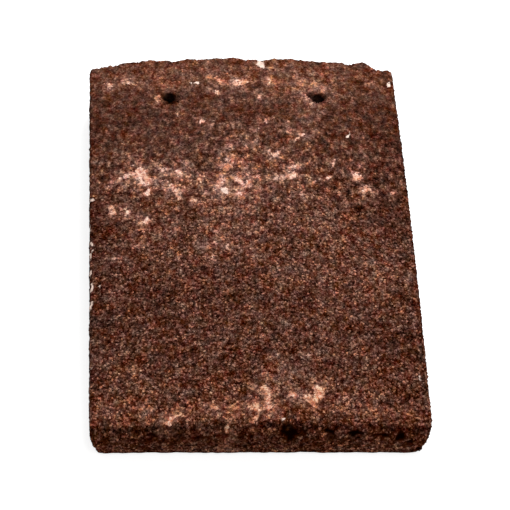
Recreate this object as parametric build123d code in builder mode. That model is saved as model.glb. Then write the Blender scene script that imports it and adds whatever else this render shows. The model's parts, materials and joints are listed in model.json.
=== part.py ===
from build123d import *
from math import asin, atan, cos, degrees, sin, sqrt
import os

# Concrete plain tile, cast as one piece: a plate cambered along its length and across its width,
# with a rounded tail, a rough-cut head, two nail holes and two nibs that hang it on a batten.
# Sizes are millimetres. X runs across the tile, Y from its tail to its head, and Z out of its
# weathered face. The tile is drawn with its tail's lower edge on the X axis, and then laid on
# its nibs and its tail.

# Plate
TILE_LENGTH = 265.0
TILE_WIDTH = 165.0
EDGE_THICKNESS = 13.5  # at the two long edges
LENGTH_CAMBER = 7.5  # rise of the middle above the tail and the head
FACE_CAMBER = 4.2  # rise of the weathered face from its long edges to its centreline
UNDERSIDE_CAMBER = 1.0  # the same rise on the underside, so the plate is thicker along its middle

# Edges
NOSE_RADIUS = 6.5  # where the weathered face turns down at the tail
FACE_EDGE_RADIUS = 1.5  # along the long edges of the weathered face
BEVEL_WIDTH = 3.4  # across the underside, along its long edges
BEVEL_HEIGHT = 8.5

# Head, cut in a slight bow, with one corner worn and the other chipped
HEAD_BOW = 0.6
WORN_CORNER_WIDTH = 24.0
WORN_CORNER_DEPTH = 5.0
CHIP_WIDTH = 14.0
CHIP_DEPTH = 5.4
CHIP_SLOPE = 5.5  # run of the chip's inner flank across the tile

# Nail holes, with a broken mouth on the weathered face
NAIL_HOLE_DIAMETER = 6.5
NAIL_MOUTH_DIAMETER = 8.0
NAIL_MOUTH_ANGLE = 90.0
NAIL_HOLE_SPACING = 80.0
NAIL_HOLE_FROM_HEAD = 33.5

# Nibs, with an upright face that hooks over the batten
NIB_WIDTH = 26.0
NIB_SPACING = 92.0
NIB_DROP = 9.0  # below the tail's lowest points, at the batten face
NIB_BATTEN_FACE_FROM_HEAD = 17.0
NIB_FOOT_LENGTH = 7.0
NIB_HEAD_GAP = 3.0  # from the nib's root to the head
NIB_EDGE_RADIUS = 1.5

TRIM = 10.0  # by which rough shapes run past the faces that trim them


def arc_radius(span, rise):
    """Radius of the arc that rises so far over a chord of that span."""
    return (span**2 / 4 + rise**2) / (2 * rise)


def arc_height(span, rise, offset):
    """Height of that arc above its chord, at an offset from the chord's middle."""
    radius = arc_radius(span, rise)
    return sqrt(radius**2 - offset**2) - (radius - rise)


half_length = TILE_LENGTH / 2
half_width = TILE_WIDTH / 2
camber_radius = arc_radius(TILE_LENGTH, LENGTH_CAMBER)
camber_centre = (0, half_length, LENGTH_CAMBER - camber_radius)


def face_height(x, y):
    """Height of the weathered face above the tail's lower edge."""
    radius = camber_radius + EDGE_THICKNESS + arc_height(TILE_WIDTH, FACE_CAMBER, x)
    return sqrt(radius**2 - (y - half_length) ** 2) + camber_centre[2]


crown_height = LENGTH_CAMBER + EDGE_THICKNESS + FACE_CAMBER

# The rough plate starts past the tail and is turned about the camber's axis until it is past the head
rough_half_angle = asin((half_length + TRIM) / camber_radius)
camber_axis = Axis(camber_centre, (-1, 0, 0))
section_plane = Plane(
    origin=camber_centre,
    x_dir=(1, 0, 0),
    z_dir=(0, -cos(rough_half_angle), -sin(rough_half_angle)),
)

nail_hole_x = NAIL_HOLE_SPACING / 2
nail_hole_y = TILE_LENGTH - NAIL_HOLE_FROM_HEAD
nail_hole_z = face_height(nail_hole_x, nail_hole_y)

# The floor that the tile lies on runs from the tail's lowest points to the feet of the nibs
batten_face_y = TILE_LENGTH - NIB_BATTEN_FACE_FROM_HEAD
nib_heel_y = batten_face_y + NIB_FOOT_LENGTH
nib_root_y = TILE_LENGTH - NIB_HEAD_GAP
tail_lift = arc_height(TILE_WIDTH, UNDERSIDE_CAMBER, half_width - BEVEL_WIDTH)
floor_fall = NIB_DROP / batten_face_y

# Nib, drawn on the tile's centreline, with a foot that lies flat on the floor
with BuildPart() as nib:
    with BuildSketch(Plane.YZ):
        with BuildLine():
            Polyline(
                (batten_face_y, EDGE_THICKNESS / 2),
                (batten_face_y, tail_lift - floor_fall * batten_face_y),
                (nib_heel_y, tail_lift - floor_fall * nib_heel_y),
                (nib_root_y, 0),
                (nib_root_y, EDGE_THICKNESS / 2),
                close=True,
            )
        make_face()
    extrude(amount=NIB_WIDTH / 2, both=True)
    fillet(nib.faces().sort_by(Axis.Z)[0].edges(), NIB_EDGE_RADIUS)

with BuildPart() as plain_tile:
    # Plate: its cross-section turned about the axis of the lengthways camber
    with BuildSketch(section_plane):
        with BuildLine():
            underside = ThreePointArc(
                (BEVEL_WIDTH - half_width, camber_radius + tail_lift),
                (0, camber_radius + UNDERSIDE_CAMBER),
                (half_width - BEVEL_WIDTH, camber_radius + tail_lift),
            )
            right_bevel = Line(underside @ 1, (half_width, camber_radius + BEVEL_HEIGHT))
            right_side = Line(right_bevel @ 1, (half_width, camber_radius + EDGE_THICKNESS))
            face = ThreePointArc(
                right_side @ 1,
                (0, camber_radius + EDGE_THICKNESS + FACE_CAMBER),
                (-half_width, camber_radius + EDGE_THICKNESS),
            )
            left_side = Line(face @ 1, (-half_width, camber_radius + BEVEL_HEIGHT))
            Line(left_side @ 1, underside @ 0)
        make_face()
    revolve(axis=camber_axis, revolution_arc=degrees(2 * rough_half_angle))

    # Tail and head, cut square to the chord
    with BuildSketch(Plane.XY.offset(-TRIM)):
        with BuildLine():
            tail = Line((-half_width - TRIM, 0), (half_width + TRIM, 0))
            right = Line(tail @ 1, (half_width + TRIM, TILE_LENGTH - CHIP_DEPTH))
            chip_floor = Line(right @ 1, (half_width - CHIP_WIDTH + CHIP_SLOPE, TILE_LENGTH - CHIP_DEPTH))
            chip_flank = Line(chip_floor @ 1, (half_width - CHIP_WIDTH, TILE_LENGTH - HEAD_BOW))
            bow = ThreePointArc(
                chip_flank @ 1,
                (0, TILE_LENGTH),
                (WORN_CORNER_WIDTH - half_width, TILE_LENGTH - HEAD_BOW),
            )
            worn = Line(bow @ 1, (-half_width, TILE_LENGTH - HEAD_BOW - WORN_CORNER_DEPTH))
            left = Line(worn @ 1, (-half_width - TRIM, (worn @ 1).Y))
            Line(left @ 1, tail @ 0)
        make_face()
    extrude(amount=crown_height + 2 * TRIM, mode=Mode.INTERSECT)

    # Nose, and then the long edges of the weathered face
    tail_face = plain_tile.faces().sort_by(Axis.Y)[0]
    fillet(tail_face.edges().sort_by(Axis.Z)[-1], NOSE_RADIUS)
    sides = plain_tile.faces().filter_by(Axis.X).sort_by(Axis.X)
    fillet([side.edges().sort_by(Axis.Z)[-1] for side in (sides[0], sides[-1])], FACE_EDGE_RADIUS)

    # Nail holes
    with Locations((-nail_hole_x, nail_hole_y, nail_hole_z), (nail_hole_x, nail_hole_y, nail_hole_z)):
        CounterSinkHole(
            NAIL_HOLE_DIAMETER / 2, NAIL_MOUTH_DIAMETER / 2, counter_sink_angle=NAIL_MOUTH_ANGLE
        )

    # Nibs
    with Locations((-NIB_SPACING / 2, 0, 0), (NIB_SPACING / 2, 0, 0)):
        add(nib.part)

# Laid on a level floor, with the middle of its footprint over the origin
lying_tile = Rot(X=degrees(atan(floor_fall))) * plain_tile.part
footprint = lying_tile.bounding_box()
lying_tile = Pos(0, -footprint.center().Y, -footprint.min.Z) * lying_tile
lying_tile.label = "plain_tile"

os.makedirs("parts", exist_ok=True)
export_step(lying_tile, "parts/plain_tile.step")
print("volume", lying_tile.volume, "box", lying_tile.bounding_box())
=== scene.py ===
"""Concrete plain tile: the rough, sand-faced skin over its solid, and a white studio to show it in."""

import json
import math

import bmesh
import bpy
import numpy as np
from bpy.props import FloatProperty, FloatVectorProperty, PointerProperty
from mathutils import Matrix, Vector, noise
from mathutils.bvhtree import BVHTree


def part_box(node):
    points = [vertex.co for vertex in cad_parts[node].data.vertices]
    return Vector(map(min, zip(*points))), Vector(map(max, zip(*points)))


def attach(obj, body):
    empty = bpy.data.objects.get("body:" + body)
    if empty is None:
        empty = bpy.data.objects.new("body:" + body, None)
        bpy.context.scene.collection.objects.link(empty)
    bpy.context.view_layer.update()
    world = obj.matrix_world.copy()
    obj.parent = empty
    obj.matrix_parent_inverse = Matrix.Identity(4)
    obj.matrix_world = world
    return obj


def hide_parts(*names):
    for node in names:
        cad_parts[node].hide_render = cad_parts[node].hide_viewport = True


bl_info = {
    "name": "Concrete plain tile",
    "version": (1, 0, 0),
    "blender": (4, 5, 0),
    "location": "View3D > Sidebar > Plain tile",
    "description": "Dresses a concrete plain tile with its sand facing, worn patches and ragged edges",
    "category": "Object",
}

MM = 0.001

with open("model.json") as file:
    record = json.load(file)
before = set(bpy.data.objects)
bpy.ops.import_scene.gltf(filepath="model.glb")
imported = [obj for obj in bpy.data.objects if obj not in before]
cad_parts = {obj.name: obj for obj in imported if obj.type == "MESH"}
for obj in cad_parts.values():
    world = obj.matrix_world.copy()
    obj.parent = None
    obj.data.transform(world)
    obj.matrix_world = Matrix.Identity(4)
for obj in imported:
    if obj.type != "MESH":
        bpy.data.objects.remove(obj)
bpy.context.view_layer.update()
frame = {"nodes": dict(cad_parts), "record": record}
SOLID = frame["nodes"]["plain_tile"]

# The tile lies on its nibs and its tail, so its own axes lean: the nail holes stand square to the plate
NAIL_HOLES = [mount for mount in frame["record"]["mounts"] if mount["kind"] == "bore"]
PLATE_UP = Vector(NAIL_HOLES[0]["axis"])
PLATE_LENGTHWAYS = Vector((0, PLATE_UP.z, -PLATE_UP.y))

# Places on the tile are in millimetres across from its centreline and up from the foot of its tail
TOUCHING_FLOOR = 0.05 * MM
TAIL_FOOT = Vector((0, min(v.co.y for v in SOLID.data.vertices if v.co.z < TOUCHING_FLOOR), 0))
LENGTH_MM = round(max((v.co - TAIL_FOOT).dot(PLATE_LENGTHWAYS) for v in SOLID.data.vertices) / MM, 1)
HALF_WIDTH_MM = round(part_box("plain_tile")[1].x / MM, 1)

# What the two ends of the tile take up of its length, and the heights between which the nibs come in
NOSE_MM = 25
HEAD_CUT_MM = 12
NIBS_MM = 25
NIB_TOP_MM = (10.0, 9.2)

# Where, going up or down the tile, something comes in
EVENER_UP_MM = (110, 220)
COARSER_DOWN_MM = (60, 20)
STREAKIER_UP_MM = (130, 200)
CLUMPIER_UP_MM = (190, 240)
DEEPER_UP_MM = (230, 244)
DEEPER_DOWN_MM = (45, 15)

# The same going to the right, and going up or down the tail from the floor
DEEPER_RIGHT_MM = (45, 55)
ROUGHER_OFF_FLOOR_MM = (0.0, 3.0)
PITTED_OFF_FLOOR_MM = (4, 9)
WORN_OFF_FLOOR_MM = (9, 13)
ROUNDER_TO_FLOOR_MM = (8, 1)

# The pale band across the tile, with the half lengths over which clumps and streaks show more in it, and
# a streaky patch above it with its half sizes
PALE_BAND_MM = 163
CLUMPY_HALF_MM = 28
STREAKY_HALF_MM = 26
UPPER_PATCH_MM = 208
UPPER_HALF_MM = (50, 22)

# Width of the paler surround of a worn patch
SURROUND_MM = 2.6

# Distances from the axis of a nail hole where its bore, painted in shade, and its broken mouth end
BORE_EDGE_MM = (3.8, 3.2)
MOUTH_EDGE_MM = (6.0, 3.6)

# The tail's worn corners: how far the wear reaches, which way it goes, how much more of it there is near
# the floor, and the side and amount of each
CORNER_REACH_MM = 9
CORNER_INWARDS = (-0.8, 0.4)
CORNER_FLOOR_WEAR = 0.9
CORNER_WEAR = [(1, 2.7), (-1, 0.5)]

# Steps that part one noise from the next
NOISE_STEPS = (17.3, 5.1, 11.7)

# Half the floor's size in metres, the share of light that its paper throws back, and the paper's own glow
FLOOR_HALF_SIZE = 4.0
PAPER_SHADE = 0.6
PAPER_GLOW = 0.79

# Width of the camera's sensor in millimetres
SENSOR_WIDTH = 36.0

# Pale patches, where the dark sand has worn off the peach-coloured mortar. Each has its place across
# the tile and up from the tail, its half sizes across and along, its lean in degrees and its strength
WORN_PATCHES = [
    # Across the middle, on the left
    (-56, 167.5, 3.6, 7.8, 25, 1.0),
    (-52.8, 155, 2.0, 2.6, 0, 1.0),
    (-60, 175.5, 1.3, 2.8, 25, 0.7),
    (-64, 168, 2.3, 4.0, -25, 0.95),
    (-65.5, 161.5, 1.4, 1.5, 0, 0.6),
    (-71, 164.5, 1.0, 1.0, 0, 0.7),
    (-71, 144, 2.3, 3.6, -10, 0.8),
    (-65, 144, 2.4, 1.6, 0, 0.68),
    (-63, 140, 1.8, 1.7, 0, 0.85),
    (-54, 135, 1.5, 3.2, -40, 0.95),
    (-45, 172, 3.0, 1.6, 0, 0.75),
    (-36, 169, 1.8, 3.0, 0, 0.82),
    (-33, 178, 3.4, 1.2, 0, 0.5),
    (-40, 158.5, 2.0, 5.0, 25, 0.88),
    (-47, 163, 2.8, 2.0, 0, 0.55),
    (-36, 155, 2.2, 2.0, 0, 0.6),
    (-30, 148.5, 1.5, 2.0, 20, 0.7),
    (-23.5, 155, 1.4, 2.6, 0, 0.55),
    (-18, 127, 1.6, 2.4, 0, 0.55),
    (-42, 127, 3.4, 1.8, 0, 0.5),
    # Across the middle
    (-18, 156, 1.5, 2.0, 0, 0.62),
    (-13.3, 155.5, 2.2, 4.0, 0, 1.0),
    (-14, 164, 1.8, 3.6, 0, 0.75),
    (-11, 176, 3.2, 5.4, 0, 0.66),
    (-15, 172, 1.8, 2.8, 0, 0.55),
    (-4.5, 163, 2.3, 2.5, 0, 0.82),
    (-3.5, 159.5, 1.2, 1.6, 0, 0.75),
    (-5.5, 153.5, 2.0, 2.6, 10, 0.92),
    (0, 160.5, 2.4, 4.0, 10, 0.7),
    (-0.5, 173, 1.4, 3.0, 0, 0.6),
    (-2, 144, 2.6, 0.9, 0, 0.62),
    (-6, 140, 1.2, 1.0, 0, 0.55),
    (-9.5, 189, 1.4, 2.0, 0, 0.55),
    (0, 189, 1.0, 1.2, 0, 0.75),
    # Across the middle, on the right
    (5, 166, 1.5, 1.8, 0, 0.65),
    (5.5, 154.5, 1.4, 2.4, -20, 0.55),
    (13, 158, 1.0, 2.4, 0, 0.5),
    (14.5, 165, 1.9, 2.1, 0, 0.85),
    (18, 166, 1.3, 2.0, 0, 0.62),
    (22, 168, 2.2, 4.4, 8, 0.9),
    (25, 173.5, 3.2, 1.6, 0, 0.75),
    (15, 183.5, 1.6, 5.2, -42, 0.82),
    (11.3, 185, 1.2, 3.2, -10, 0.72),
    (4.5, 195, 1.4, 1.6, 0, 0.8),
    (25.5, 196.5, 1.2, 2.8, -32, 0.7),
    (20, 190, 1.0, 1.8, 0, 0.5),
    (27, 153.5, 0.9, 2.2, -20, 0.65),
    (34.5, 164, 0.9, 2.6, -30, 0.8),
    (41.2, 166, 1.3, 2.9, -15, 1.0),
    (44, 176.5, 0.9, 4.6, -15, 0.75),
    (56.5, 169, 3.0, 5.2, 32, 0.86),
    (57.5, 177, 0.9, 2.4, 0, 0.55),
    (59.8, 161, 1.0, 2.4, 0, 0.55),
    (61, 157.5, 2.6, 2.0, 0, 1.0),
    (73.5, 157, 1.2, 1.3, 0, 0.78),
    # Near the head
    (-71.5, 243, 2.2, 3.4, 0, 0.78),
    (-61.5, 246.5, 1.9, 2.4, 0, 0.78),
    (-65, 246, 1.6, 2.0, 0, 0.65),
    (-57, 243.5, 1.9, 2.2, 0, 0.68),
    (-46, 230, 2.0, 3.4, 0, 0.55),
    (-42, 236.6, 2.6, 1.4, 0, 0.5),
    (-42, 240, 1.8, 2.0, 0, 0.5),
    (-35, 217, 1.0, 1.6, 0, 0.55),
    (-23.6, 210, 1.0, 1.4, 0, 0.9),
    (-21.4, 210, 0.9, 1.3, 0, 0.85),
    (-18, 208, 1.4, 2.2, -20, 0.62),
    (-14.5, 234, 1.3, 2.2, 0, 1.0),
    (-13.5, 245, 2.1, 3.0, 20, 0.82),
    (-3.2, 243.8, 3.2, 3.6, 0, 1.0),
    (1.5, 244, 2.0, 2.4, 0, 0.8),
    (5.5, 203, 0.9, 3.2, -15, 0.65),
    (8, 231, 1.4, 2.3, 0, 0.85),
    (10.5, 209.5, 1.0, 1.8, 0, 0.88),
    (13.7, 243.5, 1.3, 3.5, 0, 0.9),
    (23, 203, 1.8, 3.2, 0, 0.5),
    (23, 210, 1.6, 1.2, 0, 0.55),
    (28.5, 200.5, 1.6, 2.2, 20, 0.85),
    (30, 213, 0.9, 3.8, -25, 0.55),
    (37.5, 203, 1.0, 1.2, 0, 0.6),
    (33.6, 231, 1.7, 3.8, 0, 0.66),
    (37, 226.4, 2.4, 1.7, 0, 0.6),
    (43, 239.5, 2.8, 2.2, 0, 0.5),
    (47, 233, 1.3, 2.4, 0, 0.5),
    (35.5, 238, 1.4, 1.8, 0, 0.55),
    (31.5, 246, 1.6, 1.8, 0, 0.55),
    (72, 248, 1.6, 2.0, 0, 0.7),
    # Below the middle
    (-58, 119.5, 1.4, 1.8, 0, 0.6),
    (-70, 109.5, 1.6, 1.6, 0, 0.55),
    (-25.5, 116, 1.5, 1.1, 0, 0.9),
    (-19.5, 118, 1.1, 1.3, 0, 0.75),
    (-21, 109, 0.9, 1.8, 0, 0.75),
    (-13, 116, 0.9, 1.8, -20, 0.8),
    (-1.8, 114, 1.1, 1.1, 0, 0.88),
    (0, 108, 1.8, 2.2, 0, 0.5),
    (-63, 37.5, 2.2, 0.9, 0, 0.65),
    (-78, 43.5, 1.5, 1.1, 0, 0.5),
    (24, 45, 1.8, 0.9, 0, 0.6),
    (8.5, 45.5, 1.3, 1.1, 0, 0.5),
    (11.5, 38, 1.5, 2.2, 0, 0.6),
    # Along the tail
    (3.2, 21, 2.7, 7.2, 8, 0.84),
    (0.6, 25.6, 2.2, 1.9, 0, 0.82),
    (-3, 13.8, 5.0, 2.4, 0, 0.8),
    (4.5, 14.5, 2.6, 2.2, 0, 0.82),
    (-11.5, 14, 2.2, 2.3, 0, 0.7),
    (-9.5, 11.3, 1.0, 1.8, 0, 0.72),
    (-22, 13.5, 2.4, 1.3, 0, 0.82),
    (-26.5, 11.5, 1.1, 1.1, 0, 0.65),
    (-46, 5.6, 1.6, 1.5, 0, 1.0),
    (-43.5, 8, 1.4, 3.8, -60, 0.95),
    (-39, 9.8, 2.4, 1.4, 0, 0.82),
    (-3, 7, 1.5, 1.8, 0, 0.75),
    (-17, 1.6, 1.6, 1.5, 0, 1.0),
    (27.6, 22.8, 2.7, 4.2, -10, 1.0),
    (24, 18, 2.0, 4.4, 50, 0.88),
    (21.5, 20.5, 1.8, 1.8, 0, 0.75),
    (16.5, 20.5, 2.8, 2.4, 0, 0.68),
    (15, 31, 1.5, 3.2, -15, 0.65),
    (26, 30, 1.8, 1.8, 0, 0.6),
    (21.5, 33, 1.1, 2.4, 0, 0.55),
    (-75, 14.5, 3.8, 1.8, 0, 0.5),
    (-57, 15, 2.8, 1.8, 0, 0.45),
    (58, 13, 5.5, 2.6, 0, 0.42),
    (72, 13, 1.6, 2.6, -40, 0.55),
]

# White specks of lime, given the same way
LIME_SPECKS = [
    (-24.8, 242.2, 1.2, 1.0, 0, 1.0),
    (-27.8, 242.2, 0.9, 0.7, 0, 0.7),
    (9.8, 260.8, 1.9, 4.8, 10, 0.7),
    (80, 247, 1.3, 2.0, 0, 0.9),
    (53.1, 200.8, 0.8, 2.6, -20, 0.95),
    (-82, 153, 1.0, 1.6, 0, 0.9),
    (-82, 132, 0.8, 2.4, 0, 0.65),
    (-82, 120.5, 0.9, 2.2, 0, 0.85),
    (-82, 112.5, 0.9, 3.2, 0, 0.8),
    (-82, 100.5, 0.9, 2.6, 0, 0.8),
    (-82, 91, 0.9, 2.2, 0, 0.9),
    (-82, 79, 0.9, 2.8, 0, 0.8),
    (-77.5, 91.5, 0.6, 0.8, 0, 0.75),
    (-13.5, 155, 2.0, 3.2, 0, 0.8),
    (-52.8, 155, 1.4, 1.8, 0, 0.5),
    (-71, 144.5, 1.2, 1.8, 0, 0.2),
    (-54, 135, 1.0, 2.0, -40, 0.55),
    (41.2, 165.5, 0.9, 1.6, -15, 0.5),
    (10.4, 6, 1.1, 1.0, 0, 0.85),
    (77.5, 33, 0.8, 1.2, 0, 0.6),
    (-81, 39, 0.7, 1.2, 0, 0.5),
]

# Wide stretches where the facing is made paler or darker, with painted shade along its long edges and painted
# light on its left: place, half sizes and change of shade
FACE_TONE_AND_SHADE = [
    # Near the head
    (0, 255, 95, 13, 0.08),
    (9, 257, 9, 8, 0.07),
    (42, 256, 9, 8, 0.05),
    (-50, 248, 20, 10, 0.05),
    (-3, 243, 40, 7, 0.03),
    (34, 241, 16, 9, 0.16),
    (34, 226, 14, 8, 0.07),
    (-8, 226, 10, 9, 0.05),
    (-66, 214, 22, 18, -0.08),
    (-8, 238, 9, 7, -0.05),
    (24, 209, 9, 9, -0.05),
    (59, 212, 10, 10, -0.06),
    (76, 225, 9, 10, -0.06),
    (-40, 208, 12, 10, -0.04),
    # Across the middle
    (-52, 166, 22, 14, 0.04),
    (-56, 144, 9, 8, -0.05),
    (-30, 160, 14, 9, 0.1),
    (-9, 161, 15, 15, 0.1),
    (-8, 137, 14, 16, 0.06),
    (20, 170, 12, 12, 0.06),
    (24, 180, 14, 16, 0.04),
    (-24, 178, 8, 7, -0.07),
    (-40, 177, 7, 7, -0.03),
    (58, 163, 10, 12, -0.1),
    (44, 166, 9, 16, -0.06),
    (56, 192, 9, 9, 0.08),
    (56, 146, 9, 9, -0.05),
    (-15, 192, 45, 14, 0.04),
    (8, 198, 10, 12, -0.05),
    (-5, 136, 55, 22, 0.05),
    (40, 128, 10, 9, 0.06),
    (-6, 128, 10, 8, 0.04),
    (-24, 111, 9, 9, 0.05),
    (28, 96, 16, 14, 0.04),
    # Along the edges and down to the tail; the first four are painted shade along the long edges, where the
    # face curves away from the light
    (78, 150, 11, 90, -0.09),
    (-80, 110, 9, 90, -0.06),
    (-75, 137, 10, 20, -0.1),
    (-60, 75, 28, 45, -0.06),
    (60, 106, 18, 16, 0.09),
    (-8, 82, 22, 12, -0.06),
    (32, 45, 26, 14, -0.03),
    (40, 48, 9, 9, 0.06),
    (-64, 28, 18, 14, 0.06),
    (9, 34, 9, 8, 0.1),
    (-15, 14, 75, 10, 0.05),
    # Painted light on the left half, making up for the key lamp standing to the right
    (-85, 132, 80, 200, 0.035),
    (42, 14, 12, 8, 0.06),
    (-6, 17, 10, 9, 0.05),
    (24, 21, 9, 12, -0.06),
    (74, 16, 10, 9, -0.05),
    (2, 110, 16, 8, -0.04),
]

# The head's ragged edge: place across the tile, half width, and how far it stands out or falls short
HEAD_EDGE = [
    (-77, 6, -0.6),
    (-63.5, 3, 0.8),
    (-57.5, 2, -0.6),
    (-36, 4.5, -0.8),
    (-29.5, 2, 0.7),
    (-23, 4, -0.9),
    (-5, 5, 0.9),
    (4, 4, -0.8),
    (10, 3, -0.9),
    (27, 6, 0.9),
    (45, 3, -0.7),
    (57, 3, -1.1),
    (67, 3, 1.9),
    (80, 2.5, 1.5),
]

# Where the mouths of the nail holes are broken out: place across the tile and up from the tail, half sizes
# and depth
BROKEN_MOUTHS = [
    (-39.4, 227.0, 2.6, 1.8, 2.2),
    (-43.0, 233.6, 1.6, 1.4, 0.8),
    (36.4, 233.4, 2.0, 1.8, 1.5),
    (43.4, 233.6, 2.0, 1.8, 1.5),
]

# Voids in the tail, under its upper edge: place across the tile, height over the floor, half width,
# half height and depth
TAIL_VOIDS = [
    (-75, 10, 2.4, 2.8, 0.6),
    (-54, 10.5, 3.8, 1.6, 1.0),
    (-51, 12.8, 4.4, 2.0, 1.5),
    (-43, 7, 1.6, 1.4, 0.6),
    (-41, 14, 2.4, 1.4, 0.7),
    (-29, 12, 4.0, 2.0, 0.9),
    (-18, 13, 3.0, 1.4, 0.6),
    (-5.5, 12.5, 2.4, 2.2, 0.9),
    (13, 14.2, 4.6, 4.2, 2.0),
    (20, 11.5, 1.8, 1.8, 0.8),
    (25, 7.2, 2.2, 1.6, 0.9),
    (32.5, 15.6, 2.8, 1.6, 1.8),
    (44.3, 14.2, 2.6, 1.8, 2.1),
    (47, 11, 2.8, 1.7, 1.2),
    (57, 13.2, 5.5, 1.5, 1.5),
    (66.3, 12, 1.9, 2.9, 1.9),
    (71.5, 8.3, 2.2, 2.4, 1.8),
    (75.5, 2.4, 3.0, 2.6, 2.2),
]

# The tail's painted light and shade, and stretches of it made lighter or darker: place across the tile,
# height over the floor, half sizes and change of shade
TAIL_TONE_AND_SHADE = [
    # The first three run across the whole tail: painted shade at the floor, painted light a little above it
    # and painted shade higher up
    (0, 0, 200, 1.6, -0.08),
    (0, 4.6, 200, 2.2, 0.065),
    (0, 9, 200, 2.5, -0.03),
    (-10, 6.5, 24, 3.0, -0.05),
    (55, 6, 19, 3.6, 0.12),
    (52, 15, 26, 3.5, 0.13),
    (-55, 13, 24, 2.5, 0.05),
]


def linear(code):
    """An sRGB hex colour as linear red, green and blue."""
    parts = [int(code[i : i + 2], 16) / 255 for i in (1, 3, 5)]
    return [c / 12.92 if c <= 0.04045 else ((c + 0.055) / 1.055) ** 2.4 for c in parts]


def colour_setting(name, description, code):
    """A colour that the user can change."""
    return FloatVectorProperty(
        name=name, description=description, subtype="COLOR", size=3, min=0, max=1, default=linear(code)
    )


def length_setting(name, description, millimetres):
    """A length that the user can change."""
    return FloatProperty(
        name=name, description=description, subtype="DISTANCE", unit="LENGTH", default=millimetres * MM
    )


def angle_setting(name, description, degrees):
    """An angle that the user can change."""
    return FloatProperty(name=name, description=description, subtype="ANGLE", default=math.radians(degrees))


class SkinSettings(bpy.types.PropertyGroup):
    """Sizes and colours of the tile's skin."""

    mesh_size: length_setting(
        "Underside mesh", "Size of a face on the underside; the rest has half of it", 1.8
    )
    grain: length_setting("Grain", "Width of a grain of the sand facing", 1.15)
    fine_grain: length_setting("Fine grain", "Width of the finer grains between them", 0.6)
    drawn_out: FloatProperty(
        name="Drawn out", description="How many times longer than wide the grains lie", default=1.1, min=1
    )
    streak: length_setting("Streak", "Width of the streaks of paler and darker sand", 3.0)
    cast: length_setting("Cast", "Width of the stretches with a cast of their own colour", 9.0)
    streaked: FloatProperty(
        name="Streaked", description="How many times longer than wide the streaks are", default=1.7, min=1
    )
    grain_relief: length_setting("Grain relief", "Height of the grains on the weathered face", 0.45)
    clump: length_setting("Clump", "Width of a clump of grains", 3.6)
    clump_relief: length_setting("Clump relief", "Height of the clumps on the weathered face", 0.3)
    swell: length_setting("Swell", "Width of the slow waves of the face", 32.0)
    swell_relief: length_setting("Swell relief", "Height of those waves", 0.3)
    head_bite: length_setting("Head bite", "Width of a bite in the ragged head", 5.0)
    head_bite_depth: length_setting("Head bite depth", "Depth of those bites", 0.8)
    mouth_depth: length_setting("Mouth depth", "How far the broken mouths of the nail holes sink", 0.6)
    cut_relief: length_setting("Cut relief", "Height of the coarse relief of the tail and the head", 0.9)
    gap: colour_setting("Gaps", "Shade between the grains", "#0f0200")
    black: colour_setting("Black grains", "Darkest sand", "#2b1006")
    umber: colour_setting("Umber grains", "Dark brown sand", "#452419")
    russet: colour_setting("Russet grains", "Red-brown sand, the commonest", "#563226")
    clay: colour_setting("Clay grains", "Paler red-brown sand", "#724b3d")
    rose: colour_setting("Rose grains", "Dusty pink sand", "#966b5b")
    peach: colour_setting("Peach mortar", "Mortar that shows where the sand has worn off", "#d69373")
    cream: colour_setting("Cream mortar", "Palest mortar", "#f5cfb5")
    lime: colour_setting("Lime", "White specks", "#f5d8c8")
    concrete_dark: colour_setting("Dark concrete", "Darker cement of the underside", "#3a2a22")
    concrete_pale: colour_setting("Pale concrete", "Paler cement of the underside", "#6b5244")


class StudioSettings(bpy.types.PropertyGroup):
    """Camera and light."""

    azimuth: angle_setting("Azimuth", "Turn of the camera round the tile", -5.05)
    elevation: angle_setting("Elevation", "Height of the camera", 43.95)
    roll: angle_setting("Roll", "Turn of the camera about its own line of sight", 3.66)
    distance: length_setting("Distance", "From the camera to the point that it looks at", 1356.0)
    aim: FloatVectorProperty(
        name="Aim",
        description="Point that the camera looks at",
        subtype="TRANSLATION",
        unit="LENGTH",
        size=3,
        default=(1.9 * MM, -8.94 * MM, 14.4 * MM),
    )
    lens: FloatProperty(
        name="Lens", description="Focal length on a 36 mm sensor", unit="CAMERA", default=187.2
    )
    key_power: FloatProperty(
        name="Key light", description="Power of the lamp over the head", unit="POWER", default=26.0
    )
    fill_power: FloatProperty(
        name="Fill light", description="Power of the lamp over the tail", unit="POWER", default=4.0
    )
    ambient: FloatProperty(
        name="Ambient", description="Strength of the light from all round", default=0.45, min=0
    )


def add_node(tree, kind, inputs=None, **settings):
    """Adds a node, sets its options, and fills its inputs with values or links."""
    node = tree.nodes.new(kind)
    for name, value in settings.items():
        setattr(node, name, value)
    for key, value in (inputs or {}).items():
        if isinstance(value, bpy.types.NodeSocket):
            tree.links.new(value, node.inputs[key])
        else:
            node.inputs[key].default_value = value
    return node


def set_stops(ramp, stops):
    """Gives a colour ramp these stops, each a place and a linear colour."""
    elements = ramp.color_ramp.elements
    while len(elements) > 1:
        elements.remove(elements[-1])
    for index, (place, colour) in enumerate(stops):
        element = elements[0] if index == 0 else elements.new(place)
        element.position = place
        element.color = (*colour, 1.0)


def new_material(name):
    """An empty material with its principled shader already joined to the output."""
    material = bpy.data.materials.new(name)
    material.use_nodes = True
    tree = material.node_tree
    tree.nodes.clear()
    shader = add_node(tree, "ShaderNodeBsdfPrincipled")
    add_node(tree, "ShaderNodeOutputMaterial", {"Surface": shader.outputs["BSDF"]})
    return material, tree, shader


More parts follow.
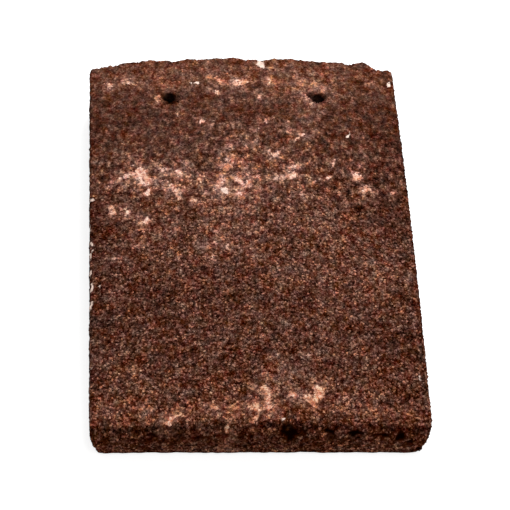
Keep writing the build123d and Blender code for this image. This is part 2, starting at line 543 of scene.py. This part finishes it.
def sand_faced_concrete(skin):
    """Concrete faced with coloured sand, pressed on while wet: a matt crust of separate grains, most of
    them red-brown, some near black or dusty pink, with dark gaps between. Where it is worn, the smoother
    peach-coloured mortar shows."""
    material, tree, shader = new_material("sand_faced_concrete")
    place = add_node(tree, "ShaderNodeTexCoord").outputs["Object"]
    level, contrast, mottle, worn, lime, hollow_shade, deep = [
        add_node(tree, "ShaderNodeAttribute", attribute_name=name).outputs["Fac"]
        for name in ("level", "contrast", "mottle", "worn", "lime", "hollow_shade", "deep")
    ]

    # The facing was drawn on lengthways, so the grains lie long that way, and they are broken, not round
    drawn = add_node(
        tree, "ShaderNodeVectorMath", {0: place, 1: (1, 1 / skin.drawn_out, 1)}, operation="MULTIPLY"
    ).outputs[0]
    chips = add_node(
        tree, "ShaderNodeTexNoise", {"Vector": drawn, "Scale": 1 / skin.fine_grain, "Detail": 1.0}
    ).outputs["Color"]
    off = add_node(
        tree, "ShaderNodeVectorMath", {0: chips, 1: (0.5, 0.5, 0.5)}, operation="SUBTRACT"
    ).outputs[0]
    broken = add_node(
        tree, "ShaderNodeVectorMath", {0: off, 1: (skin.fine_grain,) * 3, 2: drawn}, operation="MULTIPLY_ADD"
    ).outputs[0]
    grains, fines = [
        add_node(tree, "ShaderNodeTexVoronoi", {"Vector": broken, "Scale": 1 / width}).outputs
        for width in (skin.grain, skin.fine_grain)
    ]

    # Streaks of paler and darker sand, each with its own tint, and wide stretches with a cast of their own
    streaked = add_node(
        tree, "ShaderNodeVectorMath", {0: place, 1: (1, 1 / skin.streaked, 1)}, operation="MULTIPLY"
    ).outputs[0]
    streaks, wide = [
        add_node(
            tree,
            "ShaderNodeTexNoise",
            {"Vector": where, "Scale": 1 / width, "Detail": detail, "Roughness": 0.6},
        ).outputs
        for where, width, detail in ((streaked, skin.streak, 3.0), (place, skin.cast, 2.0))
    ]
    paler = add_node(tree, "ShaderNodeMath", {0: streaks["Fac"], 1: 0.5}, operation="SUBTRACT").outputs[0]
    grain_picks, fine_picks, tints, casts = [
        add_node(tree, "ShaderNodeSeparateColor", {"Color": pattern["Color"]}).outputs
        for pattern in (grains, fines, streaks, wide)
    ]

    # Each grain's own shade, about the level of its stretch of the face
    pick = add_node(
        tree,
        "ShaderNodeMix",
        {"Factor": 0.5, "A": grain_picks["Red"], "B": fine_picks["Red"]},
        data_type="FLOAT",
    ).outputs["Result"]
    about = add_node(tree, "ShaderNodeMath", {0: pick, 1: 0.5}, operation="SUBTRACT").outputs[0]
    mottled = add_node(
        tree, "ShaderNodeMath", {0: paler, 1: mottle, 2: level}, operation="MULTIPLY_ADD"
    ).outputs[0]
    shade = add_node(
        tree, "ShaderNodeMath", {0: about, 1: contrast, 2: mottled}, operation="MULTIPLY_ADD"
    ).outputs[0]

    # The streaks and the grains break up the edges of the worn patches, where the mortar lies bare
    frayed = add_node(tree, "ShaderNodeMath", {0: paler, 1: 2.4, 2: 1.0}, operation="MULTIPLY_ADD").outputs[0]
    frayed = add_node(tree, "ShaderNodeMath", {0: worn, 1: frayed}, operation="MULTIPLY").outputs[0]
    fretted = add_node(
        tree, "ShaderNodeMath", {0: about, 1: 0.55, 2: frayed}, operation="MULTIPLY_ADD"
    ).outputs[0]
    bare = add_node(
        tree,
        "ShaderNodeMapRange",
        {"Value": fretted, "From Min": 0.15, "From Max": 0.85},
        interpolation_type="SMOOTHSTEP",
    ).outputs["Result"]
    mortar = add_node(
        tree, "ShaderNodeMath", {0: worn, 1: 0.38, 2: 0.58}, operation="MULTIPLY_ADD"
    ).outputs[0]
    mortar = add_node(
        tree, "ShaderNodeMath", {0: about, 1: 0.42, 2: mortar}, operation="MULTIPLY_ADD"
    ).outputs[0]
    paled = add_node(
        tree, "ShaderNodeMix", {"Factor": bare, "A": shade, "B": mortar}, data_type="FLOAT"
    ).outputs["Result"]

    # Painted shade: the gaps between the grains and the hollows are darkened, but not where mortar fills them
    gaps = add_node(
        tree,
        "ShaderNodeMapRange",
        {"Value": grains["Distance"], "From Min": 0.5, "From Max": 0.95, "To Max": 0.5},
        interpolation_type="SMOOTHSTEP",
    ).outputs["Result"]
    dark = add_node(tree, "ShaderNodeMath", {0: gaps, 1: hollow_shade}, operation="MAXIMUM").outputs[0]
    filled = add_node(
        tree, "ShaderNodeMix", {"Factor": bare, "A": dark, "B": 0.0}, data_type="FLOAT"
    ).outputs["Result"]
    sunk = add_node(
        tree, "ShaderNodeMix", {"Factor": filled, "A": paled, "B": 0.0}, data_type="FLOAT"
    ).outputs["Result"]
    ramp = add_node(tree, "ShaderNodeValToRGB", {"Fac": sunk})
    set_stops(
        ramp,
        [
            (0.0, skin.gap),
            (0.15, skin.black),
            (0.3, skin.umber),
            (0.42, skin.russet),
            (0.55, skin.clay),
            (0.7, skin.rose),
            (0.87, skin.peach),
            (1.0, skin.cream),
        ],
    )

    # No two grains, streaks or wide stretches have quite the same colour: the deeper it is, the redder, and
    # bare mortar is pinker
    pinker = add_node(tree, "ShaderNodeMath", {0: mottle, 1: 0.8}, operation="MAXIMUM").outputs[0]
    pinker = add_node(tree, "ShaderNodeMath", {0: worn, 1: pinker}, operation="MULTIPLY").outputs[0]
    hue = 0.4792
    for share, weight in (
        (grain_picks["Green"], 0.006),
        (tints["Green"], 0.055),
        (casts["Green"], 0.02),
        (tints["Blue"], -0.025),
        (casts["Blue"], -0.007),
        (contrast, -0.004),
        (pinker, -0.007),
    ):
        hue = add_node(
            tree, "ShaderNodeMath", {0: share, 1: weight, 2: hue}, operation="MULTIPLY_ADD"
        ).outputs[0]
    depth = 0.39
    for share, weight in (
        (fine_picks["Green"], 0.06),
        (tints["Blue"], 0.6),
        (casts["Blue"], 0.45),
        (deep, 0.1),
        (contrast, 0.06),
        (paler, 0.55),
        (pinker, -0.08),
    ):
        depth = add_node(
            tree, "ShaderNodeMath", {0: share, 1: weight, 2: depth}, operation="MULTIPLY_ADD"
        ).outputs[0]
    depth = add_node(tree, "ShaderNodeMath", {0: depth, 1: 1.16}, operation="MINIMUM").outputs[0]
    sand = add_node(
        tree, "ShaderNodeHueSaturation", {"Hue": hue, "Saturation": depth, "Color": ramp.outputs["Color"]}
    ).outputs["Color"]

    # White lime, broken up by the grains
    crumbled = add_node(
        tree, "ShaderNodeMath", {0: about, 1: 0.45, 2: lime}, operation="MULTIPLY_ADD"
    ).outputs[0]
    whitened = add_node(
        tree,
        "ShaderNodeMapRange",
        {"Value": crumbled, "From Min": 0.25, "From Max": 0.75},
        interpolation_type="SMOOTHSTEP",
    ).outputs["Result"]
    limed = add_node(
        tree, "ShaderNodeMix", {"Factor": whitened, "A": sand, "B": (*skin.lime, 1.0)}, data_type="RGBA"
    ).outputs["Result"]
    tree.links.new(limed, shader.inputs["Base Color"])

    # Each grain is a small dome, with finer ones on it
    domes = add_node(
        tree,
        "ShaderNodeMath",
        {0: fines["Distance"], 1: 0.5, 2: grains["Distance"]},
        operation="MULTIPLY_ADD",
    ).outputs[0]
    bump = add_node(
        tree, "ShaderNodeBump", {"Height": domes, "Strength": 0.6, "Distance": 0.4 * MM}, invert=True
    ).outputs["Normal"]
    tree.links.new(bump, shader.inputs["Normal"])
    # Loose sand traps what it reflects, so there is no sheen
    shader.inputs["Roughness"].default_value = 0.95
    shader.inputs["Specular IOR Level"].default_value = 0.0
    return material


def cast_concrete(skin):
    """Brown concrete as it left the mould: close and matt, with fine pores and a cloudy cement skin."""
    material, tree, shader = new_material("cast_concrete")
    place = add_node(tree, "ShaderNodeTexCoord").outputs["Object"]
    cloud_width, pore_spacing, grit_width = 18 * MM, 2.4 * MM, 0.8 * MM
    cloud = add_node(
        tree,
        "ShaderNodeTexNoise",
        {"Vector": place, "Scale": 1 / cloud_width, "Detail": 6.0, "Roughness": 0.65},
    )
    pores = add_node(tree, "ShaderNodeTexVoronoi", {"Vector": place, "Scale": 1 / pore_spacing})
    ramp = add_node(tree, "ShaderNodeValToRGB", {"Fac": cloud.outputs["Fac"]})
    set_stops(ramp, [(0.3, skin.concrete_dark), (0.72, skin.concrete_pale)])
    # Painted shade: the pores are darkened towards the colour of the gaps between grains
    pits = add_node(
        tree,
        "ShaderNodeMapRange",
        {"Value": pores.outputs["Distance"], "From Min": 0.1, "From Max": 0.22, "To Min": 0.6, "To Max": 0.0},
        interpolation_type="SMOOTHSTEP",
    )
    skin_colour = add_node(
        tree,
        "ShaderNodeMix",
        {"Factor": pits.outputs["Result"], "A": ramp.outputs["Color"], "B": (*skin.gap, 1.0)},
        data_type="RGBA",
    )
    tree.links.new(skin_colour.outputs["Result"], shader.inputs["Base Color"])
    grit = add_node(tree, "ShaderNodeTexNoise", {"Vector": place, "Scale": 1 / grit_width, "Detail": 3.0})
    height = add_node(
        tree,
        "ShaderNodeMath",
        {0: pits.outputs["Result"], 1: -1.5, 2: grit.outputs["Fac"]},
        operation="MULTIPLY_ADD",
    )
    bump = add_node(
        tree, "ShaderNodeBump", {"Height": height.outputs[0], "Strength": 0.5, "Distance": 0.3 * MM}
    )
    tree.links.new(bump.outputs["Normal"], shader.inputs["Normal"])
    shader.inputs["Roughness"].default_value = 0.9
    shader.inputs["Specular IOR Level"].default_value = 0.12
    return material


def smoothstep(low, high, values):
    """0 below low, 1 above high, and a smooth rise between."""
    share = np.clip((values - low) / (high - low), 0, 1)
    return share * share * (3 - 2 * share)


def noise_at(points, size, seed):
    """Smooth noise from -1 to 1, with waves of that size, at each point."""
    offset = Vector([seed * step for step in NOISE_STEPS])
    return np.array([noise.noise(Vector(point) / size + offset) for point in points])


def fading(*distances):
    """1 in the middle, fading to 0 all round it. The distances are counted in half sizes."""
    return np.exp(-sum(distance**2 for distance in distances))


def spots_at(across, along, spots, ragged, surround=0.0):
    """How much each point lies in any of the spots, or within the surround of them, with ragged edges."""
    cover = np.zeros(len(across))
    for x, y, half_across, half_along, lean, strength in spots:
        angle = math.radians(lean)
        dx, dy = across - x, along - y
        u = (dx * math.cos(angle) + dy * math.sin(angle)) / (half_across + surround)
        v = (dy * math.cos(angle) - dx * math.sin(angle)) / (half_along + surround)
        inside = 1.5 - np.sqrt(u * u + v * v) + ragged
        cover = np.maximum(cover, strength * smoothstep(0.0, 0.9, inside))
    return cover


def fine_shell(skin):
    """An even mesh over the tile's solid, finer everywhere than on the underside."""
    solid = bmesh.new()
    solid.from_mesh(SOLID.data)
    bmesh.ops.remove_doubles(solid, verts=solid.verts, dist=0.001 * MM)
    surface = BVHTree.FromBMesh(solid)
    block = bpy.data.meshes.new("block")
    solid.to_mesh(block)
    solid.free()
    holder = bpy.data.objects.new("block", block)
    bpy.context.scene.collection.objects.link(holder)
    remesh = holder.modifiers.new("Even faces", "REMESH")
    remesh.mode = "VOXEL"
    remesh.voxel_size = skin.mesh_size
    evaluated = holder.evaluated_get(bpy.context.evaluated_depsgraph_get())
    shell = bmesh.new()
    shell.from_mesh(bpy.data.meshes.new_from_object(evaluated))
    bpy.data.objects.remove(holder)

    shell.normal_update()
    shown = [face for face in shell.faces if face.normal.dot(PLATE_UP) > -0.5]
    edges = {edge for face in shown for edge in face.edges}
    bmesh.ops.subdivide_edges(shell, edges=list(edges), cuts=1, use_grid_fill=True)
    for vertex in shell.verts:
        vertex.co = surface.find_nearest(vertex.co)[0]
    shell.normal_update()
    return shell


def roughen(shell, skin):
    """Moves the shell's vertices into grains, clumps, voids and ragged edges, and returns what the
    material needs at each of them."""
    points = np.array([vertex.co for vertex in shell.verts])
    normals = np.array([vertex.normal for vertex in shell.verts])
    plate_up = np.array(PLATE_UP)
    lengthways = np.array(PLATE_LENGTHWAYS)
    across = points[:, 0] / MM
    along = (points - np.array(TAIL_FOOT)) @ lengthways / MM
    height = points[:, 2] / MM
    up = normals @ plate_up
    facing_out = np.abs(normals @ lengthways)

    # The weathered face, the underside with its nibs, the cut tail and head, the tail's rounded nose and
    # where that turns down, and the long edges
    at_tail = along < NOSE_MM
    at_end = at_tail | (along > LENGTH_MM - HEAD_CUT_MM)
    nibs = smoothstep(*NIB_TOP_MM, height) * (along > LENGTH_MM - NIBS_MM)
    face = smoothstep(0.2, 0.7, up)
    under = np.maximum(smoothstep(0.3, 0.7, -up), nibs)
    cut = smoothstep(0.35, 0.8, facing_out) * at_end * (1 - under)
    nose = smoothstep(0.15, 0.6, facing_out) * at_tail
    turned = smoothstep(0.14, 0.4, facing_out) * smoothstep(0.72, 0.55, facing_out) * at_tail * (1 - under)
    sides = 1 - np.clip(face + under + cut, 0, 1)

    grain = noise_at(points, skin.grain, 1)
    clump = noise_at(points, skin.clump, 2)
    lump = noise_at(points, 2 * skin.clump, 3)
    swell = noise_at(points, skin.swell, 4)
    bite = noise_at(points, skin.head_bite, 5)
    speckle = noise_at(points, 1.6 * skin.grain, 6)

    grain_height = skin.grain_relief * (face + 1.3 * sides + 1.2 * cut + 0.15 * under)
    clump_height = skin.clump_relief * (face + sides + 0.1 * under) + skin.cut_relief * np.maximum(cut, nose)
    relief = grain_height * grain + clump_height * (0.6 * clump + 0.4 * lump)
    relief += skin.swell_relief * swell * face
    relief *= smoothstep(*ROUGHER_OFF_FLOOR_MM, height) + 0.15

    # Spots and voids stray from their plain outlines
    stray_across = noise_at(points, 1.3 * skin.clump, 7)
    stray_along = noise_at(points, 1.3 * skin.clump, 8)

    voids = np.zeros(len(points))
    bore_shade = np.zeros(len(points))
    for x, z, half_across, half_high, depth in TAIL_VOIDS:
        aside, over = across + 3 * stray_across - x, height + 1.8 * stray_along - z
        reach = np.sqrt((aside / half_across) ** 2 + (over / half_high) ** 2)
        inside = smoothstep(0.0, 1.1, 1.2 - reach + 0.8 * clump + 0.5 * grain)
        voids = np.maximum(voids, depth * inside * nose * (1 - under))
    relief -= voids * MM
    for x, y, half_across, half_along, depth in BROKEN_MOUTHS:
        reach = np.hypot((across - x) / half_across, (along - y) / half_along)
        broken = smoothstep(1.3, 0.5, reach + 0.6 * clump + 0.4 * grain) * face
        relief -= depth * MM * broken
        bore_shade = np.maximum(bore_shade, 0.75 * broken)
    for hole in NAIL_HOLES:
        offset = points - np.array(hole["pos_m"])
        offset -= np.outer(offset @ plate_up, plate_up)
        from_hole = np.linalg.norm(offset, axis=1) / MM
        bore_shade = np.maximum(bore_shade, smoothstep(*BORE_EDGE_MM, from_hole + 0.4 * clump))
        relief -= skin.mouth_depth * smoothstep(*MOUTH_EDGE_MM, from_hole + 1.6 * clump) * face
    moved = points + normals * relief[:, None]

    # The head is ragged along the tile, and the tail's two corners are worn in
    near_head = smoothstep(LENGTH_MM - HEAD_CUT_MM, LENGTH_MM - 1, along) * (1 - under)
    edge = sum(push * fading((across - x) / half) for x, half, push in HEAD_EDGE)
    back = near_head * (edge * MM + skin.head_bite_depth * (0.6 * bite + 0.4 * clump))
    moved += np.outer(back, lengthways)
    low = smoothstep(*ROUNDER_TO_FLOOR_MM, height)
    for side, wear in CORNER_WEAR:
        corner = smoothstep(CORNER_REACH_MM, 0, np.hypot(across - side * HALF_WIDTH_MM, along))
        inwards = np.array((side * CORNER_INWARDS[0], CORNER_INWARDS[1], 0)) * MM
        moved += np.outer((wear + CORNER_FLOOR_WEAR * low) * corner, inwards)
    moved[:, 2] = np.maximum(moved[:, 2], 0)
    for vertex, point in zip(shell.verts, moved):
        vertex.co = point

    # Worn patches with a paler surround, lime, and painted shade in the voids, the nail holes and the low
    # pits
    ragged = 0.4 * grain + 0.3 * clump
    strayed = (across + 1.8 * stray_across, along + 2.4 * stray_along)
    worn = spots_at(*strayed, WORN_PATCHES, ragged) * (0.95 + 0.35 * speckle)
    worn *= np.maximum(face, nose * smoothstep(*WORN_OFF_FLOOR_MM, height))
    halo = spots_at(*strayed, WORN_PATCHES, ragged, surround=SURROUND_MM)
    lime = spots_at(*strayed, LIME_SPECKS, 0.3 * grain) * smoothstep(0.05, 0.35, up)
    pits = smoothstep(0.1, 0.4, -0.6 * grain - 0.4 * clump)
    hollow_shade = np.clip(voids / 1.3, 0, 1) + 0.7 * bore_shade + 0.32 * pits
    pitted = cut * smoothstep(*PITTED_OFF_FLOOR_MM, height)
    hollow_shade += 0.5 * pitted * smoothstep(0.0, 0.5, 0.6 * lump - 0.5 * clump)

    # Shade of the facing, how much its grains and its streaks differ, and how deep its colour is
    level = 0.41 + 0.05 * swell + 0.06 * clump + 0.05 * lump + 0.15 * halo
    # Painted shade where the tail's nose turns down, away from the light
    level -= 0.17 * turned
    # Painted shade and light on the tail by height over the floor, and stretches of it lighter or darker
    for x, z, half_across, half_high, change in TAIL_TONE_AND_SHADE:
        level += change * fading((across - x) / half_across, (height - z) / half_high) * cut * at_tail
    level += (0.07 * clump + 0.07 * lump) * fading((along - PALE_BAND_MM) / CLUMPY_HALF_MM)
    level += 0.05 * clump * smoothstep(*CLUMPIER_UP_MM, along)
    # Painted shade along the long edges, painted light on the left, and stretches of the facing made paler or
    # darker
    for x, y, half_across, half_along, change in FACE_TONE_AND_SHADE:
        level += change * fading((across - x) / half_across, (along - y) / half_along)
    contrast = 0.92 - 0.44 * smoothstep(*EVENER_UP_MM, along) + 0.06 * smoothstep(*COARSER_DOWN_MM, along)
    contrast = (contrast + 0.02 * cut) * (1 - 0.35 * halo)
    mottle = 0.28 + 0.46 * smoothstep(*STREAKIER_UP_MM, along)
    mottle += 0.85 * fading((along - PALE_BAND_MM) / STREAKY_HALF_MM)
    mottle += 0.45 * fading(across / UPPER_HALF_MM[0], (along - UPPER_PATCH_MM) / UPPER_HALF_MM[1])
    tail = smoothstep(*DEEPER_DOWN_MM, along)
    deep = np.maximum(cut, 0.5 * tail) + 0.5 * smoothstep(*DEEPER_UP_MM, along) * face - 0.8 * sides
    deep += worn * (tail + 0.9 * smoothstep(*DEEPER_RIGHT_MM, across))
    return {
        "level": level,
        "contrast": contrast,
        "mottle": mottle,
        "worn": np.clip(worn, 0, 1),
        "lime": np.clip(lime, 0, 1),
        "deep": deep,
        "hollow_shade": np.clip(hollow_shade, 0, 1),
        "under": under,
    }


class TILE_OT_sand_faced_tile(bpy.types.Operator):
    """Builds the tile's rough skin over its solid"""

    bl_idname = "plain_tile.sand_faced_tile"
    bl_label = "Sand-faced tile"

    def execute(self, context):
        skin = context.scene.tile_skin
        shell = fine_shell(skin)
        marks = roughen(shell, skin)
        under = marks.pop("under")
        shell.verts.ensure_lookup_table()
        shell.verts.index_update()
        for polygon in shell.faces:
            polygon.smooth = True
            bare = sum(under[v.index] for v in polygon.verts) / len(polygon.verts)
            polygon.material_index = 1 if bare > 0.5 else 0
        mesh = bpy.data.meshes.new("sand_faced_tile")
        shell.to_mesh(mesh)
        shell.free()
        for name, values in marks.items():
            attribute = mesh.attributes.new(name, "FLOAT", "POINT")
            attribute.data.foreach_set("value", values.astype(np.float32))
        mesh.materials.append(sand_faced_concrete(skin))
        mesh.materials.append(cast_concrete(skin))
        tile = bpy.data.objects.new("sand_faced_tile", mesh)
        context.scene.collection.objects.link(tile)
        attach(tile, "root")
        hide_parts("plain_tile")
        return {"FINISHED"}


def shown_directly(tree):
    """1 for what the camera sees straight, in a mirror or through glass, and 0 for what only gives light."""
    ray = add_node(tree, "ShaderNodeLightPath").outputs
    mirrored = add_node(
        tree, "ShaderNodeMath", {0: ray["Is Camera Ray"], 1: ray["Is Glossy Ray"]}, operation="MAXIMUM"
    )
    return add_node(
        tree, "ShaderNodeMath", {0: mirrored.outputs[0], 1: ray["Is Transmission Ray"]}, operation="MAXIMUM"
    ).outputs[0]


def white_paper():
    """White seamless paper: it shows white, and still takes the tile's shadow."""
    material = bpy.data.materials.new("white_paper")
    material.use_nodes = True
    tree = material.node_tree
    tree.nodes.clear()
    paper = add_node(tree, "ShaderNodeBsdfDiffuse", {"Color": (PAPER_SHADE, PAPER_SHADE, PAPER_SHADE, 1.0)})
    glow = add_node(
        tree,
        "ShaderNodeEmission",
        {"Strength": shown_directly(tree), "Color": (PAPER_GLOW, PAPER_GLOW, PAPER_GLOW, 1.0)},
    )
    both = add_node(tree, "ShaderNodeAddShader", {0: paper.outputs[0], 1: glow.outputs[0]})
    add_node(tree, "ShaderNodeOutputMaterial", {"Surface": both.outputs[0]})
    return material


def add_lamp(name, power, size, place):
    """A square soft lamp at a place, turned to the middle of the floor."""
    lamp = bpy.data.lights.new(name, "AREA")
    lamp.energy = power
    lamp.size = size
    holder = bpy.data.objects.new(name, lamp)
    holder.location = place
    holder.rotation_euler = (-Vector(place)).to_track_quat("-Z", "Y").to_euler()
    bpy.context.scene.collection.objects.link(holder)


class TILE_OT_studio(bpy.types.Operator):
    """Sets up the white floor, the lamps and the camera"""

    bl_idname = "plain_tile.studio"
    bl_label = "Studio"

    def execute(self, context):
        studio = context.scene.tile_studio
        context.scene.view_settings.view_transform = "Standard"

        sheet = bmesh.new()
        bmesh.ops.create_grid(sheet, x_segments=1, y_segments=1, size=FLOOR_HALF_SIZE)
        mesh = bpy.data.meshes.new("floor")
        sheet.to_mesh(mesh)
        sheet.free()
        mesh.materials.append(white_paper())
        floor = bpy.data.objects.new("floor", mesh)
        context.scene.collection.objects.link(floor)

        world = bpy.data.worlds.new("studio")
        world.use_nodes = True
        context.scene.world = world
        tree = world.node_tree
        tree.nodes.clear()
        strength = add_node(
            tree,
            "ShaderNodeMix",
            {"Factor": shown_directly(tree), "A": studio.ambient, "B": 1.0},
            data_type="FLOAT",
        )
        sky = add_node(tree, "ShaderNodeBackground", {"Strength": strength.outputs["Result"]})
        add_node(tree, "ShaderNodeOutputWorld", {"Surface": sky.outputs[0]})

        add_lamp("key", studio.key_power, size=0.8, place=(0.42, 1.0, 1.0))
        add_lamp("fill", studio.fill_power, size=1.2, place=(0.6, -0.9, 1.2))

        camera = bpy.data.cameras.new("camera")
        camera.lens = studio.lens
        camera.sensor_width = SENSOR_WIDTH
        holder = bpy.data.objects.new("camera", camera)
        turn = (
            Matrix.Rotation(studio.azimuth, 4, "Z")
            @ Matrix.Rotation(math.pi / 2 - studio.elevation, 4, "X")
            @ Matrix.Rotation(studio.roll, 4, "Z")
        )
        back = Matrix.Translation((0, 0, studio.distance))
        holder.matrix_world = Matrix.Translation(studio.aim) @ turn @ back
        context.scene.collection.objects.link(holder)
        context.scene.camera = holder
        return {"FINISHED"}


class TILE_PT_panel(bpy.types.Panel):
    """Lists the settings of the tile's skin and of the studio, and the buttons that build them"""

    bl_idname = "TILE_PT_panel"
    bl_label = "Plain tile"
    bl_space_type = "VIEW_3D"
    bl_region_type = "UI"
    bl_category = "Plain tile"

    def draw(self, context):
        for settings in (context.scene.tile_skin, context.scene.tile_studio):
            column = self.layout.column()
            for name in settings.bl_rna.properties.keys():
                if name not in ("rna_type", "name"):
                    column.prop(settings, name)
        self.layout.operator(TILE_OT_sand_faced_tile.bl_idname)
        self.layout.operator(TILE_OT_studio.bl_idname)


CLASSES = (SkinSettings, StudioSettings, TILE_OT_sand_faced_tile, TILE_OT_studio, TILE_PT_panel)


def register():
    """Adds the settings, operators and panel to the program."""
    for each in CLASSES:
        bpy.utils.register_class(each)
    bpy.types.Scene.tile_skin = PointerProperty(type=SkinSettings)
    bpy.types.Scene.tile_studio = PointerProperty(type=StudioSettings)


def unregister():
    """Takes them away again."""
    del bpy.types.Scene.tile_studio
    del bpy.types.Scene.tile_skin
    for each in reversed(CLASSES):
        bpy.utils.unregister_class(each)


def main():
    """Builds the tile and its studio."""
    register()
    bpy.ops.plain_tile.sand_faced_tile()
    bpy.ops.plain_tile.studio()


if __name__ == "__main__":
    main()
